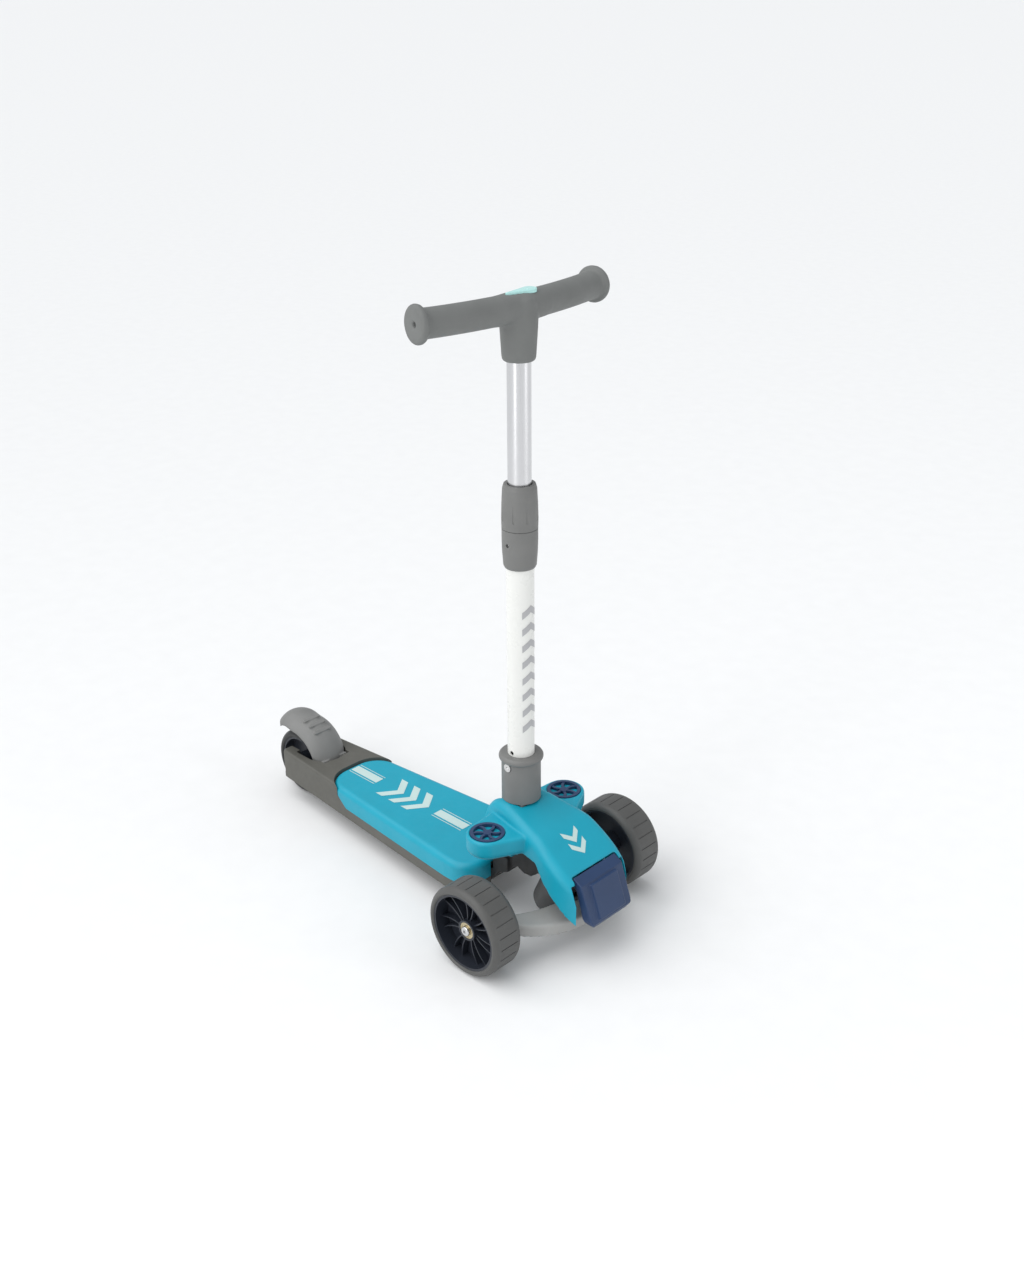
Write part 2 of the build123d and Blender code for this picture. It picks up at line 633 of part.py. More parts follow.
# ---------------------------------------------------------------- brake
FENDER_WALL = 4.0
FENDER_HALF = 28.5
FENDER_CROWN = 13.5
FENDER_R = 64.0  # outside, over the middle of the wheel
FENDER_CENTRE = (-489.0, 57.0)


def fender_section():
    """Deeply crowned strip: x across the scooter, y outwards from the wheel."""
    up, drop = FENDER_WALL / 2, FENDER_CROWN
    over = ThreePointArc((-FENDER_HALF, up - drop), (0, up), (FENDER_HALF, up - drop))
    under = ThreePointArc((-FENDER_HALF, -up - drop), (0, -up), (FENDER_HALF, -up - drop))
    return make_face([over, Line(over @ 1, under @ 1), under, Line(under @ 0, over @ 0)])


def bent_strip(point, heading, radius, turn):
    """One bend of the mudguard. Returns it with the point and heading where it ends.

    The heading is measured from +X towards +Z; a positive turn curls round the wheel."""
    travel = Vector(1, 0, 0).rotate(Axis.Y, -heading)
    out = Vector(1, 0, 0).rotate(Axis.Y, 90 - heading)
    centre = point - out * math.copysign(radius, turn)
    axis = Axis(centre, (0, -math.copysign(1, turn), 0))
    place = Plane(origin=point, x_dir=(0, -1, 0), z_dir=travel)
    strip = revolve(place * fender_section(), axis, abs(turn))
    end = centre + (point - centre).rotate(Axis.Y, -turn)
    return strip, end, heading + turn


def brake_fender():
    """Mudguard and foot brake: crowned shell, kicked-up tail and two pivot knuckles."""
    cx, cz = ahead(FENDER_CENTRE[0]), FENDER_CENTRE[1]
    mid = FENDER_R - FENDER_WALL / 2
    first = 8.0
    point = Vector(cx, 0, cz) + Vector(mid, 0, 0).rotate(Axis.Y, -first)
    arch, point, heading = bent_strip(point, first + 90, mid, 78)
    tail, point, heading = bent_strip(point, heading, 80, -10)
    tip, point, heading = bent_strip(point, heading, 32, 70)
    shell = arch + tail + tip
    edge = FENDER_HALF + 3
    round_tail = make_face(
        [
            Polyline((ahead(-400), -edge), (ahead(-506), -edge)),
            ThreePointArc((ahead(-506), -edge), (ahead(-535), 0), (ahead(-506), edge)),
            Polyline((ahead(-506), edge), (ahead(-400), edge), (ahead(-400), -edge)),
        ]
    )
    shell &= extrude(round_tail, 200)
    # cut off level above the arms, and narrower where it passes down between them
    keep = block(ahead(-560), ahead(-400), -40, 40, DECK_TOP + 2.2, 150)
    foot = fender_seat_plan(FENDER_HALF + 0.6, FORK_FRONT)
    keep += Pos(0, 0, SEAT_Z + 3) * (extrude(foot, 12) & block(ahead(-466), ahead(-400), -40, 40, 0, 20))
    shell &= keep
    px, pz = ahead(BRAKE_PIN[0]), BRAKE_PIN[1]
    knuckle = rod(5.4, (px, 10, pz), (px, 22, pz))
    web = slab([(-434.5, 72), (-428, 74), (-424.6, 66), (-424.6, 58), (-433.5, 58)], 6, 16)
    shell += both_sides(knuckle + web)
    shell -= rod(3 + RUN, (px, -30, pz), (px, 30, pz))
    # three raised bars on the tread of the foot brake
    for angle in (56, 68, 80):
        bar = Pos(FENDER_R - 0.6, 0, 0) * fillet(Box(3.6, 6, 30).edges().filter_by(Axis.X), 2.9)
        shell += Pos(cx, 0, cz) * Rot(90, 0, 0) * Rot(0, 0, angle) * bar
    # ribs that press on the tyre
    low = (REAR_AXLE_X, -30, REAR_WHEEL_R)
    high = (REAR_AXLE_X, 30, REAR_WHEEL_R)
    rib = tube(REAR_WHEEL_R + 15.5, REAR_WHEEL_R + 7, low, high)
    rib &= both_sides(block(ahead(-505), ahead(-468), 7, 10, 90, 150))
    return shell + rib


# ---------------------------------------------------------------- stem
def stem_socket():
    foot = block(-SOCKET_HALF, SOCKET_HALF, -SOCKET_HALF, SOCKET_HALF, FOLD_Z, SOCKET_STEP_Z)
    foot = fillet(foot.edges().filter_by(Axis.Z), 1.2)
    foot += rod(SOCKET_HALF, (0, -SOCKET_HALF, FOLD_Z), (0, SOCKET_HALF, FOLD_Z))
    cup = Pos(0, 0, SOCKET_STEP_Z) * Cylinder(SOCKET_R, SOCKET_TOP_Z - SOCKET_STEP_Z, align=MID_LOW)
    rim = Pos(0, 0, SOCKET_TOP_Z - 9.5) * Cylinder(28.3, 9.5, align=MID_LOW)
    rim = fillet(rim.edges().filter_by(GeomType.CIRCLE), 4.5)
    body = foot + cup + rim
    body -= Pos(0, 0, 172) * Cylinder(OUTER_TUBE_R, 80, align=MID_LOW)
    body -= rod(5 + RUN, (0, -30, FOLD_Z), (0, 30, FOLD_Z))
    # pocket for the latch
    body -= block(SOCKET_HALF - 4.8, SOCKET_HALF + 1, -LATCH_HALF - 0.5, LATCH_HALF + 0.5,
                  LATCH_Z0 - 0.5, LATCH_Z1 + 0.5)
    # cross bolt with a spot face at each side
    body -= rod(3, (0, -40, SOCKET_BOLT_Z), (0, 40, SOCKET_BOLT_Z))
    body -= both_sides(rod(6, (0, 22.5, SOCKET_BOLT_Z), (0, 30, SOCKET_BOLT_Z)))
    return on_stem(body)


def socket_bolt():
    z = SOCKET_BOLT_Z
    shank = rod(3, (0, -22.5, z), (0, 25, z))
    head = rod(5.4, (0, -22.5, z), (0, -25.6, z))
    return on_stem(shank + head - hexagon(3.5, (0, -24.3, z), (0, -26, z)))


def socket_nut():
    z = SOCKET_BOLT_Z
    return on_stem(hexagon(9, (0, 22.5, z), (0, 26, z)) - rod(3, (0, 22, z), (0, 27, z)))


def outer_tube():
    body = tube(OUTER_TUBE_R, OUTER_TUBE_R - TUBE_WALL, (0, 0, 172), (0, 0, 560))
    body -= rod(3, (0, -30, SOCKET_BOLT_Z), (0, 30, SOCKET_BOLT_Z))
    body -= rod(3, (0, -30, 237), (0, 0, 237))
    body -= rod(2, (0, -30, 516), (0, 0, 516))
    return on_stem(body)


def tube_bush():
    """Sleeve that centres the inner tube in the mouth of the outer one."""
    return on_stem(tube(OUTER_TUBE_R - TUBE_WALL, INNER_TUBE_R + RUN, (0, 0, 530), (0, 0, 560)))


def lower_collar():
    body = turned([(OUTER_TUBE_R, 485), (18.6, 485), (20, 488), (21.2, 505), (21.6, 520), (21.6, 533.6),
                   (OUTER_TUBE_R, 533.6)])
    body -= rod(2.4, (0, -30, 516), (0, 0, 516))
    return on_stem(body)


def collar_screw():
    screw = rod(2, (0, -OUTER_TUBE_R + TUBE_WALL, 516), (0, -19.4, 516))
    return on_stem(screw - hexagon(1.8, (0, -18, 516), (0, -20, 516)))


def guide_collet():
    """Split plastic sleeve that the twist collar closes on the inner tube."""
    body = tube(16.6, INNER_TUBE_R + RUN, (0, 0, 560), (0, 0, 578))
    for i in range(4):
        body -= Rot(0, 0, i * 45) * Pos(0, 0, 572) * Box(60, 1.2, 14)
    return on_stem(body)


def twist_collar():
    body = turned([(17.4, 534.2), (21.6, 534.2), (21.9, 545), (21.4, 565), (20.4, 583), (18.8, 588),
                   (15, 588), (14.6, 587), (14.6, 580), (17.4, 579)])
    for i in range(8):
        body -= Rot(0, 0, 22.5 + i * 45) * Pos(22.6, 0, 560) * Cylinder(1.4, 30)
    return on_stem(body)


# ---------------------------------------------------------------- upper stem
def inner_tube():
    return on_stem(tube(INNER_TUBE_R, INNER_TUBE_R - 1.5, (0, 0, 430), (0, 0, 768)))


def inner_tube_plug():
    plug = rod(INNER_TUBE_R - 1.5, (0, 0, 426), (0, 0, 440)) + rod(INNER_TUBE_R, (0, 0, 424), (0, 0, 430))
    return on_stem(plug)


SWELL_R = 18.5  # the bar's radius where it meets the neck
INLAY_Z = BAR_Z + 14.5
INLAY_TOP = BAR_Z + 18.9


def inlay_plan():
    """Drop shape along the bar, round at the rider's left and pointed at the right."""
    big = Pos(2.5, 15) * Circle(8)
    small = Pos(2.5, -21) * Circle(1.5)
    return make_hull(big.edges() + small.edges())


def t_handlebar():
    neck = turned([(0, NECK_BOTTOM_Z), (17.5, NECK_BOTTOM_Z), (19.4, NECK_BOTTOM_Z + 3), (21.6, 770),
                   (22, 782), (20, 800), (12, 806), (0, 806)])
    ends = [(-BAR_SWEEP, y, BAR_Z + 2) for y in (-BAR_HALF, BAR_HALF)]
    path = ThreePointArc(ends[0], (0, 0, BAR_Z), ends[1])
    bar = sweep(Plane(origin=path @ 0, z_dir=path % 0) * Circle(BAR_R), path)
    body = neck + bar
    swell = Plane(origin=(0, -38, BAR_Z), z_dir=(0, 1, 0)) * Cone(BAR_R, SWELL_R, 38, align=MID_LOW)
    body += both_sides(swell)
    for t in (0, 1):
        out = (path % t) * (1 if t else -1)
        back = (path @ t) - out * 9
        flange = Plane(origin=back, z_dir=out) * Cylinder(21.7, 9, align=MID_LOW)
        body += fillet(flange.edges().filter_by(GeomType.CIRCLE), 3)
        body -= Plane(origin=(path @ t) - out * 8, z_dir=out) * Cylinder(3.4, 12, align=MID_LOW)
    body -= rod(INNER_TUBE_R, (0, 0, NECK_BOTTOM_Z - 1), (0, 0, 768))
    body -= rod(2.5, (-30, 0, 748), (0, 0, 748))
    body -= Pos(0, 0, INLAY_Z) * extrude(inlay_plan(), 12)
    return on_stem(body)


def bar_inlay():
    plate = extrude(inlay_plan(), INLAY_TOP - INLAY_Z)
    return on_stem(Pos(0, 0, INLAY_Z) * fillet(plate.edges().group_by(Axis.Z)[-1], 1))


def handlebar_screw():
    screw = rod(2.5, (-24, 0, 748), (-INNER_TUBE_R, 0, 748))
    return on_stem(screw - hexagon(2.2, (-22, 0, 748), (-25, 0, 748)))


# ---------------------------------------------------------------- assembly
def all_parts():
    parts = {
        "deck_base": deck_base(),
        "deck_cover": deck_cover(),
        "deck_screws": deck_screws(),
        "rear_axle_bolt": rear_axle_bolt(),
        "rear_axle_nut": rear_axle_nut(),
        "rear_axle_spacers": rear_axle_spacers(),
        "brake_pin": brake_pin(),
        "brake_spring": brake_spring(),
        "neck_bracket": neck_bracket(),
        "bracket_bolts": bracket_bolts(),
        "fold_pin": fold_pin(),
        "kingpin_bolt": kingpin_bolt(),
        "kingpin_nut": kingpin_nut(),
        "steering_bushing": steering_bushing(),
        "front_housing": front_housing(),
        "housing_screws": housing_screws(),
        "fan_cap_left": fan_cap(1),
        "fan_cap_right": fan_cap(-1),
        "release_pedal": release_pedal(),
        "pedal_pin": pedal_pin(),
        "pedal_spring": pedal_spring(),
        "latch_bolt": latch_bolt(),
        "steering_drum": steering_drum(),
        "axle_bracket": axle_bracket(),
        "front_axle_bolts": front_axle_bolts(),
        "front_axle_nuts": front_axle_nuts(),
        "front_axle_spacers": front_axle_spacers(),
        "brake_fender": brake_fender(),
        "stem_socket": stem_socket(),
        "socket_bolt": socket_bolt(),
        "socket_nut": socket_nut(),
        "outer_tube": outer_tube(),
        "tube_bush": tube_bush(),
        "lower_collar": lower_collar(),
        "collar_screw": collar_screw(),
        "guide_collet": guide_collet(),
        "twist_collar": twist_collar(),
        "inner_tube": inner_tube(),
        "inner_tube_plug": inner_tube_plug(),
        "t_handlebar": t_handlebar(),
        "bar_inlay": bar_inlay(),
        "handlebar_screw": handlebar_screw(),
    }
    front = wheel(FRONT_WHEEL_R, FRONT_RIM_R, FRONT_WHEEL_W, FRONT_WEB, FRONT_BOSS, 7)
    for name, piece in front.items():
        left = Pos(FRONT_AXLE_X, FRONT_TRACK / 2, FRONT_WHEEL_R) * piece
        parts["left_" + name] = left
        parts["right_" + name] = mirrored(left)
    rear = wheel(REAR_WHEEL_R, REAR_RIM_R, REAR_WHEEL_W, REAR_WEB, REAR_BOSS, 7)
    for name, piece in rear.items():
        parts["rear_" + name] = Pos(REAR_AXLE_X, 0, REAR_WHEEL_R) * piece
    return parts


os.makedirs("parts", exist_ok=True)
for node, shape in all_parts().items():
    export_step(shape, "parts/" + node + ".step")
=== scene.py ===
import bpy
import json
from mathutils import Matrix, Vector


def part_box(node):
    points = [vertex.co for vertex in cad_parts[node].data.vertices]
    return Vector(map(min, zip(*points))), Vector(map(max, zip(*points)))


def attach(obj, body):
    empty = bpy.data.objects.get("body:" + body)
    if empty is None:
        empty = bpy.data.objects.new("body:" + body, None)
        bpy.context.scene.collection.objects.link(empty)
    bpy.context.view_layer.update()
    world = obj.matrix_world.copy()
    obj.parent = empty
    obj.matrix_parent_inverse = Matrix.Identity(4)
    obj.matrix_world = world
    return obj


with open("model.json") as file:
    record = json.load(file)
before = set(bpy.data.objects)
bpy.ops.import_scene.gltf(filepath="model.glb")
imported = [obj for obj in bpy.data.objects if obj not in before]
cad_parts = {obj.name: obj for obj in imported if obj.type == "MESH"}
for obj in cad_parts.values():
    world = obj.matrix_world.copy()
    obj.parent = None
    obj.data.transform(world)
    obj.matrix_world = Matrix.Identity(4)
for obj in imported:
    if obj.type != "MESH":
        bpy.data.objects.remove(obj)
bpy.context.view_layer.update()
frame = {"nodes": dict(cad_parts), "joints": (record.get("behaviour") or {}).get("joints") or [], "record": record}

import json
import math

import bmesh
import bpy
from mathutils import Matrix, Vector
from mathutils.bvhtree import BVHTree

# Looks of the three-wheeled kick scooter. Metres, in the part's own frame:
# +X forward, +Y to the rider's left, +Z up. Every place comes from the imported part.

MM = 0.001
NODES = frame["nodes"]
JOINTS = {joint["name"]: joint for joint in frame["joints"]}

# ---------------------------------------------------------------- places
AXLE_X = JOINTS["left_wheel_spin"]["pos_m"][0]
STEM_X = JOINTS["stem_fold"]["pos_m"][0]
DECK_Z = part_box("deck_cover")[1].z
TUBE_R = 17 * MM  # outside of the white tube


def ahead(d):
    """X of a place d millimetres ahead of the front axle."""
    return AXLE_X + d * MM


# ---------------------------------------------------------------- camera
CAMERA_AZIMUTH = 44.31
CAMERA_ELEVATION = 25.30
CAMERA_ROLL = -0.485
CAMERA_PLACE = (1.2631, -1.1386, 1.1352)
CAMERA_LENS = 40.55
SENSOR_HEIGHT = 36.0
CAMERA_REACH = 200.0


def add_camera():
    az, el, roll = (math.radians(a) for a in (CAMERA_AZIMUTH, CAMERA_ELEVATION, CAMERA_ROLL))
    back = Vector((math.sin(az) * math.cos(el), -math.cos(az) * math.cos(el), math.sin(el)))
    level = Vector((math.cos(az), math.sin(az), 0))
    upright = back.cross(level)
    right = math.cos(roll) * level + math.sin(roll) * upright
    up = -math.sin(roll) * level + math.cos(roll) * upright
    data = bpy.data.cameras.new("camera")
    data.sensor_fit = "VERTICAL"
    data.sensor_height = SENSOR_HEIGHT
    data.lens = CAMERA_LENS
    data.clip_end = CAMERA_REACH
    camera = bpy.data.objects.new("camera", data)
    turn = Matrix((right, up, back)).transposed().to_4x4()
    camera.matrix_world = Matrix.Translation(CAMERA_PLACE) @ turn
    bpy.context.scene.collection.objects.link(camera)
    bpy.context.scene.camera = camera


# ---------------------------------------------------------------- studio
FLOOR_R = 60.0
FLOOR_SIDES = 64
FLOOR_COLOUR = (0.86, 0.86, 0.86)
SKY = (0.62, 0.64, 0.66, 1)
SKY_STRENGTH = 0.85
KEY_ENERGY = 1.9
KEY_SPREAD = 70  # degrees across the soft sun
KEY_TILT = (24, -18)  # degrees about X and Y
STRIP_WIDTH = 0.7
STRIP_HEIGHT = 2.4
STRIP_AIM = (0.1, 0, 0.5)
STRIPS = (("strip_left", (0.4, -2.6, 1.2), 16), ("strip_right", (2.7, 0.9, 1.2), 10))


def add_floor():
    mesh = bpy.data.meshes.new("floor")
    bm = bmesh.new()
    bmesh.ops.create_circle(bm, cap_ends=True, segments=FLOOR_SIDES, radius=FLOOR_R)
    bm.to_mesh(mesh)
    bm.free()
    floor = bpy.data.objects.new("floor", mesh)
    bpy.context.scene.collection.objects.link(floor)
    paper = moulded("floor_paper", FLOOR_COLOUR, 0.9, grain=0.0, mottle=0.01, wear=0.0)
    mesh.materials.append(paper)


def add_sky():
    world = bpy.data.worlds.new("studio")
    world.use_nodes = True
    sky = world.node_tree.nodes["Background"]
    sky.inputs["Color"].default_value = SKY
    sky.inputs["Strength"].default_value = SKY_STRENGTH
    bpy.context.scene.world = world


def add_key():
    """Very soft light from above and the camera's left."""
    key = bpy.data.lights.new("key", "SUN")
    key.energy = KEY_ENERGY
    key.angle = math.radians(KEY_SPREAD)
    sun = bpy.data.objects.new("key", key)
    sun.rotation_euler = (math.radians(KEY_TILT[0]), math.radians(KEY_TILT[1]), 0)
    bpy.context.scene.collection.objects.link(sun)


def add_strips():
    """Two tall lamps for the metal to reflect."""
    for name, place, energy in STRIPS:
        light = bpy.data.lights.new(name, "AREA")
        light.shape = "RECTANGLE"
        light.size = STRIP_WIDTH
        light.size_y = STRIP_HEIGHT
        light.energy = energy
        lamp = bpy.data.objects.new(name, light)
        aim = Vector(STRIP_AIM) - Vector(place)
        turn = aim.to_track_quat("-Z", "Y").to_matrix().to_4x4()
        lamp.matrix_world = Matrix.Translation(place) @ turn
        bpy.context.scene.collection.objects.link(lamp)


def add_studio():
    add_floor()
    add_sky()
    add_key()
    add_strips()
    bpy.context.scene.view_settings.view_transform = "Standard"


# ---------------------------------------------------------------- materials
NOISE_LOW = 0.3  # the usual span of a noise's values
NOISE_HIGH = 0.7
CLOUD_SCALE = 26.0
SCUFF_SCALE = 90.0
SCUFF_SPREAD = 0.06  # how far scuffs move the roughness either way
WEAR_START = 0.58  # pointiness at which an edge begins to look worn
WEAR_END = 0.72
BUMP_DEPTH = 0.0004
PLASTIC_IOR = 1.46


def new_material(name):
    material = bpy.data.materials.new(name)
    material.use_nodes = True
    tree = material.node_tree
    return material, tree, tree.nodes["Principled BSDF"]


def add_noise(tree, scale, detail=3.0, stretch=(1, 1, 1)):
    coord = tree.nodes.new("ShaderNodeTexCoord")
    mapping = tree.nodes.new("ShaderNodeMapping")
    mapping.inputs["Scale"].default_value = stretch
    noise = tree.nodes.new("ShaderNodeTexNoise")
    noise.inputs["Scale"].default_value = scale
    noise.inputs["Detail"].default_value = detail
    tree.links.new(coord.outputs["Object"], mapping.inputs["Vector"])
    tree.links.new(mapping.outputs["Vector"], noise.inputs["Vector"])
    return noise


def spread(tree, source, low, high):
    """Maps a noise's usual span to a smaller one about a value."""
    node = tree.nodes.new("ShaderNodeMapRange")
    node.inputs["From Min"].default_value = NOISE_LOW
    node.inputs["From Max"].default_value = NOISE_HIGH
    node.inputs["To Min"].default_value = low
    node.inputs["To Max"].default_value = high
    tree.links.new(source, node.inputs["Value"])
    return node.outputs["Result"]


def tint(colour, factor):
    return tuple(min(c * factor + 0.002, 1) for c in colour) + (1,)


def moulded(name, colour, rough, grain=0.06, grain_scale=2600.0, wear=0.12, metallic=0.0,
            stretch=(1, 1, 1), mottle=0.06):
    """Moulded, coated or machined surface: cloudy colour, fine grain and lighter worn edges."""
    material, tree, shader = new_material(name)
    clouds = add_noise(tree, CLOUD_SCALE, 4.0)
    ramp = tree.nodes.new("ShaderNodeValToRGB")
    ramp.color_ramp.elements[0].position = NOISE_LOW
    ramp.color_ramp.elements[1].position = NOISE_HIGH
    ramp.color_ramp.elements[0].color = tint(colour, 1 - mottle)
    ramp.color_ramp.elements[1].color = tint(colour, 1 + mottle)
    tree.links.new(clouds.outputs["Fac"], ramp.inputs["Fac"])
    geometry = tree.nodes.new("ShaderNodeNewGeometry")
    edge = tree.nodes.new("ShaderNodeMapRange")
    edge.inputs["From Min"].default_value = WEAR_START
    edge.inputs["From Max"].default_value = WEAR_END
    edge.inputs["To Max"].default_value = wear
    tree.links.new(geometry.outputs["Pointiness"], edge.inputs["Value"])
    worn = tree.nodes.new("ShaderNodeMix")
    worn.data_type = "RGBA"
    worn.inputs["B"].default_value = tint(tuple(0.6 * c + 0.28 for c in colour), 1)
    tree.links.new(edge.outputs["Result"], worn.inputs["Factor"])
    tree.links.new(ramp.outputs["Color"], worn.inputs["A"])
    tree.links.new(worn.outputs["Result"], shader.inputs["Base Color"])
    scuffs = add_noise(tree, SCUFF_SCALE, 5.0, stretch)
    sheen = spread(tree, scuffs.outputs["Fac"], rough - SCUFF_SPREAD, rough + SCUFF_SPREAD)
    tree.links.new(sheen, shader.inputs["Roughness"])
    shader.inputs["Metallic"].default_value = metallic
    shader.inputs["IOR"].default_value = PLASTIC_IOR
    texture = add_noise(tree, grain_scale, 2.0, stretch)
    bump = tree.nodes.new("ShaderNodeBump")
    bump.inputs["Strength"].default_value = grain
    bump.inputs["Distance"].default_value = BUMP_DEPTH
    tree.links.new(texture.outputs["Fac"], bump.inputs["Height"])
    tree.links.new(bump.outputs["Normal"], shader.inputs["Normal"])
    return material


COLOURS = {
    "deck_grey": dict(colour=(0.098, 0.096, 0.084), rough=0.55, grain=0.14, grain_scale=1700),
    "cover_blue": dict(colour=(0.0, 0.33, 0.46), rough=0.45, grain=0.05, mottle=0.03, wear=0.04),
    "bracket_black": dict(colour=(0.02, 0.02, 0.02), rough=0.5, grain=0.2, grain_scale=1500, wear=0.03),
    "navy": dict(colour=(0.016, 0.042, 0.115), rough=0.4, grain=0.08, wear=0.06),
    # painted shade: the drum's dark grey copies the shade that falls on it, not a colour of its own
    "drum_grey": dict(colour=(0.10, 0.10, 0.10), rough=0.5, grain=0.12),
    "bow_grey": dict(colour=(0.36, 0.36, 0.35), rough=0.38, grain=0.1, grain_scale=3200),
    "tyre_grey": dict(colour=(0.085, 0.085, 0.082), rough=0.5, grain=0.08, mottle=0.08, wear=0.03),
    "hub_black": dict(colour=(0.02, 0.024, 0.034), rough=0.38, grain=0.05, wear=0.03),
    "rear_tyre_black": dict(colour=(0.022, 0.022, 0.022), rough=0.45, grain=0.1, wear=0.02),
    "bearing_steel": dict(colour=(0.55, 0.47, 0.30), rough=0.28, metallic=1.0, grain=0.03),
    "fastener_steel": dict(colour=(0.62, 0.62, 0.62), rough=0.25, metallic=1.0, grain=0.04),
    "spring_steel": dict(colour=(0.40, 0.40, 0.42), rough=0.3, metallic=1.0, grain=0.04),
    "fender_grey": dict(colour=(0.20, 0.20, 0.195), rough=0.5, grain=0.1, wear=0.08),
    "stem_grey": dict(colour=(0.175, 0.175, 0.17), rough=0.5, grain=0.1, wear=0.08),
    "tube_white": dict(colour=(0.80, 0.80, 0.77), rough=0.3, grain=0.04, mottle=0.015, wear=0.0),
    "tube_alu": dict(colour=(0.64, 0.64, 0.65), rough=0.25, metallic=1.0, grain=0.06, grain_scale=900,
                     stretch=(1, 1, 0.03), mottle=0.02, wear=0.0),
    "grip_grey": dict(colour=(0.165, 0.17, 0.165), rough=0.62, grain=0.16, grain_scale=2000, wear=0.04),
    "mint": dict(colour=(0.47, 0.80, 0.77), rough=0.25, grain=0.02, mottle=0.03, wear=0.0),
    "decal_mint": dict(colour=(0.53, 0.68, 0.66), rough=0.35, grain=0.03, mottle=0.03, wear=0.0),
    "decal_grey": dict(colour=(0.44, 0.44, 0.45), rough=0.35, grain=0.03, mottle=0.04, wear=0.0),
    "rubber_black": dict(colour=(0.02, 0.02, 0.02), rough=0.7, grain=0.2),
    "nylon_white": dict(colour=(0.75, 0.75, 0.72), rough=0.45, grain=0.05),
}
MATERIALS = {slot: moulded(slot, **look) for slot, look in COLOURS.items()}


def paint_cad():
    for row in frame["record"]["subparts"]:
        node = NODES[row["node"]]
        node.data.materials.clear()
        node.data.materials.append(MATERIALS[row["material_slot"]])


# ---------------------------------------------------------------- mesh helpers
SHARP_ANGLE = 35  # degrees; flatter joins are shaded smooth
WELD_DISTANCE = 1e-6
SMOOTH_FACTOR = 0.5


def add_mesh(name, bm, body, slot):
    mesh = bpy.data.meshes.new(name)
    bmesh.ops.recalc_face_normals(bm, faces=bm.faces)
    bm.to_mesh(mesh)
    bm.free()
    mesh.shade_smooth()
    mesh.set_sharp_from_angle(angle=math.radians(SHARP_ANGLE))
    piece = bpy.data.objects.new(name, mesh)
    bpy.context.scene.collection.objects.link(piece)
    mesh.materials.append(MATERIALS[slot])
    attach(piece, body)
    return piece


def soften(node, voxel, rounds):
    """Rounds the sharp joins of a CAD node as a mould would."""
    piece = NODES[node]
    weld = piece.modifiers.new("weld", "WELD")
    weld.merge_threshold = WELD_DISTANCE
    remesh = piece.modifiers.new("remesh", "REMESH")
    remesh.mode = "VOXEL"
    remesh.voxel_size = voxel * MM
    remesh.use_smooth_shade = True
    smooth = piece.modifiers.new("smooth", "SMOOTH")
    smooth.factor = SMOOTH_FACTOR
    smooth.iterations = rounds


def surface_of(*pieces):
    depsgraph = bpy.context.evaluated_depsgraph_get()
    return [BVHTree.FromObject(piece, depsgraph) for piece in pieces]


def drape(point, direction, trees, lift):
    """Where a ray first meets the surfaces, raised by lift off them."""
    hits = [tree.ray_cast(point, direction) for tree in trees]
    hits = [hit for hit in hits if hit[0] is not None]
    if not hits:
        return None
    place, normal, _, _ = min(hits, key=lambda hit: hit[3])
    return place + normal * lift


# ---------------------------------------------------------------- printed graphics
PRINT_LIFT = 0.25 * MM
PRINT_STEP = 2.5 * MM


def cut_polygon(outline):
    """Flat polygon as a fine mesh, in its own plane."""
    bm = bmesh.new()
    bm.faces.new([bm.verts.new((x * MM, y * MM, 0)) for x, y in outline])
    low = [min(v.co[k] for v in bm.verts) for k in (0, 1)]
    high = [max(v.co[k] for v in bm.verts) for k in (0, 1)]
    for axis in (0, 1):
        count = int((high[axis] - low[axis]) / PRINT_STEP)
        for i in range(1, count + 1):
            place = Vector((0, 0, 0))
            place[axis] = low[axis] + i * (high[axis] - low[axis]) / (count + 1)
            normal = Vector((0, 0, 0))
            normal[axis] = 1
            bmesh.ops.bisect_plane(bm, geom=bm.verts[:] + bm.edges[:] + bm.faces[:], plane_co=place,
                                   plane_no=normal)
    return bm


def add_print(name, outlines, to_point, direction_of, trees, body, slot):
    """Prints flat outlines onto a surface."""
    whole = bmesh.new()
    for outline in outlines:
        part = cut_polygon(outline)
        mesh = bpy.data.meshes.new("print")
        part.to_mesh(mesh)
        part.free()
        whole.from_mesh(mesh)
        bpy.data.meshes.remove(mesh)
    lost = []
    for vert in whole.verts:
        start = to_point(vert.co)
        place = drape(start, direction_of(vert.co), trees, PRINT_LIFT)
        if place is None:
            lost.append(vert)
        else:
            vert.co = place
    bmesh.ops.delete(whole, geom=lost, context="VERTS")
    bmesh.ops.triangulate(whole, faces=whole.faces)
    return add_mesh(name, whole, body, slot)


def stripe(x0, x1, middle, width):
    """Plain bar along X."""
    half = width / 2
    return [(x0, middle - half), (x1, middle - half), (x1, middle + half), (x0, middle + half)]


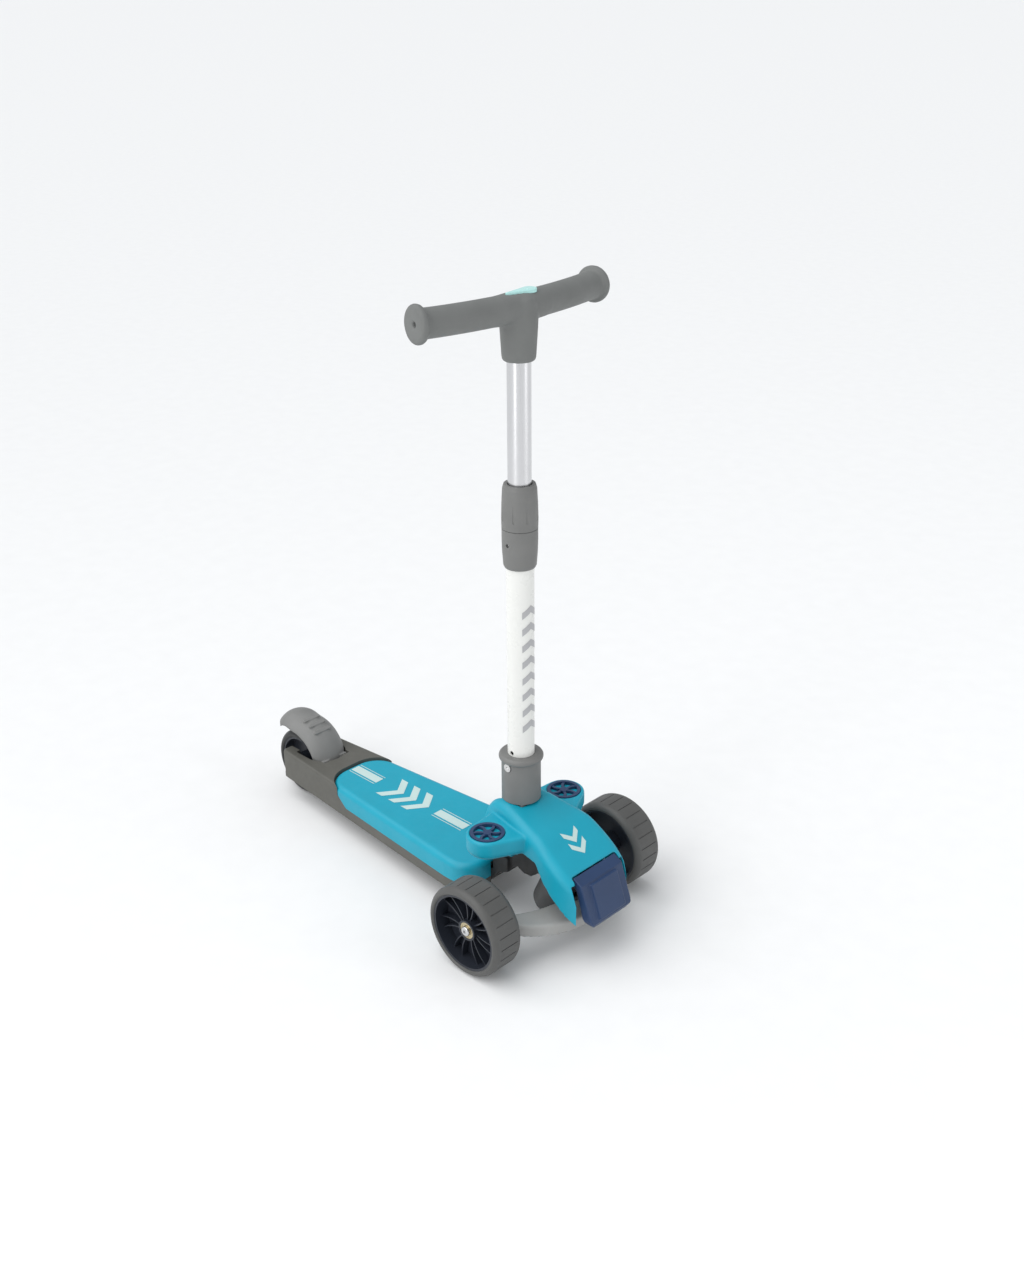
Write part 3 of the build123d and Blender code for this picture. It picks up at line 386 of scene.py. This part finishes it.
def chevron(x, reach, half, bar):
    """Arrowhead that points to +X."""
    return [(x, -half), (x + bar, -half), (x + bar + reach, 0), (x + bar, half), (x, half), (x + reach, 0)]


STRIPE_SPANS = ((-382, -328), (-208, -151))  # behind the front axle, in millimetres
WIDE_STRIPE = 14
THIN_STRIPE = 1.3
THIN_STRIPE_Y = 10.6
ABOVE_DECK = 0.05  # where the rays that place the graphics start
ABOVE_NOSE = 0.3


def add_deck_prints(trees):
    bars = []
    for x0, x1 in STRIPE_SPANS:
        bars.append(stripe(x0, x1, 0, WIDE_STRIPE))
        for side in (-1, 1):
            bars.append(stripe(x0, x1, side * THIN_STRIPE_Y, THIN_STRIPE))
    for i in range(3):
        bars.append(chevron(-308 + i * 26, 18, 25, 13))
    add_print("deck_graphics", bars, lambda co: Vector((ahead(co.x / MM), co.y, DECK_Z + ABOVE_DECK)),
              lambda co: Vector((0, 0, -1)), trees, "chassis", "decal_mint")


def add_nose_print(trees):
    marks = [chevron(31 + i * 14, 10, 13, 7) for i in range(2)]
    add_print("nose_graphics", marks, lambda co: Vector((ahead(co.x / MM), co.y, ABOVE_NOSE)),
              lambda co: Vector((0, 0, -1)), trees, "chassis", "decal_mint")


RAY_START = 0.1  # distance from the stem's axis


def add_tube_print(trees):
    """Row of chevrons wrapped round the front of the white tube."""
    def start(co):
        angle = co.y / TUBE_R
        return Vector((STEM_X + RAY_START * math.cos(angle), RAY_START * math.sin(angle), co.x))

    def inward(co):
        angle = co.y / TUBE_R
        return Vector((-math.cos(angle), -math.sin(angle), 0))

    marks = [chevron(268 + i * 22, 8, 11.5, 9) for i in range(8)]
    add_print("tube_graphics", marks, start, inward, trees, "stem", "decal_grey")


# ---------------------------------------------------------------- build
add_camera()
add_studio()
paint_cad()
soften("front_housing", 1.1, 14)
soften("t_handlebar", 1.2, 34)
soften("brake_fender", 0.7, 5)
soften("release_pedal", 0.7, 14)
soften("axle_bracket", 1.2, 6)
soften("neck_bracket", 1.2, 6)
add_deck_prints(surface_of(NODES["deck_cover"]))
add_nose_print(surface_of(NODES["front_housing"]))
add_tube_print(surface_of(NODES["outer_tube"]))
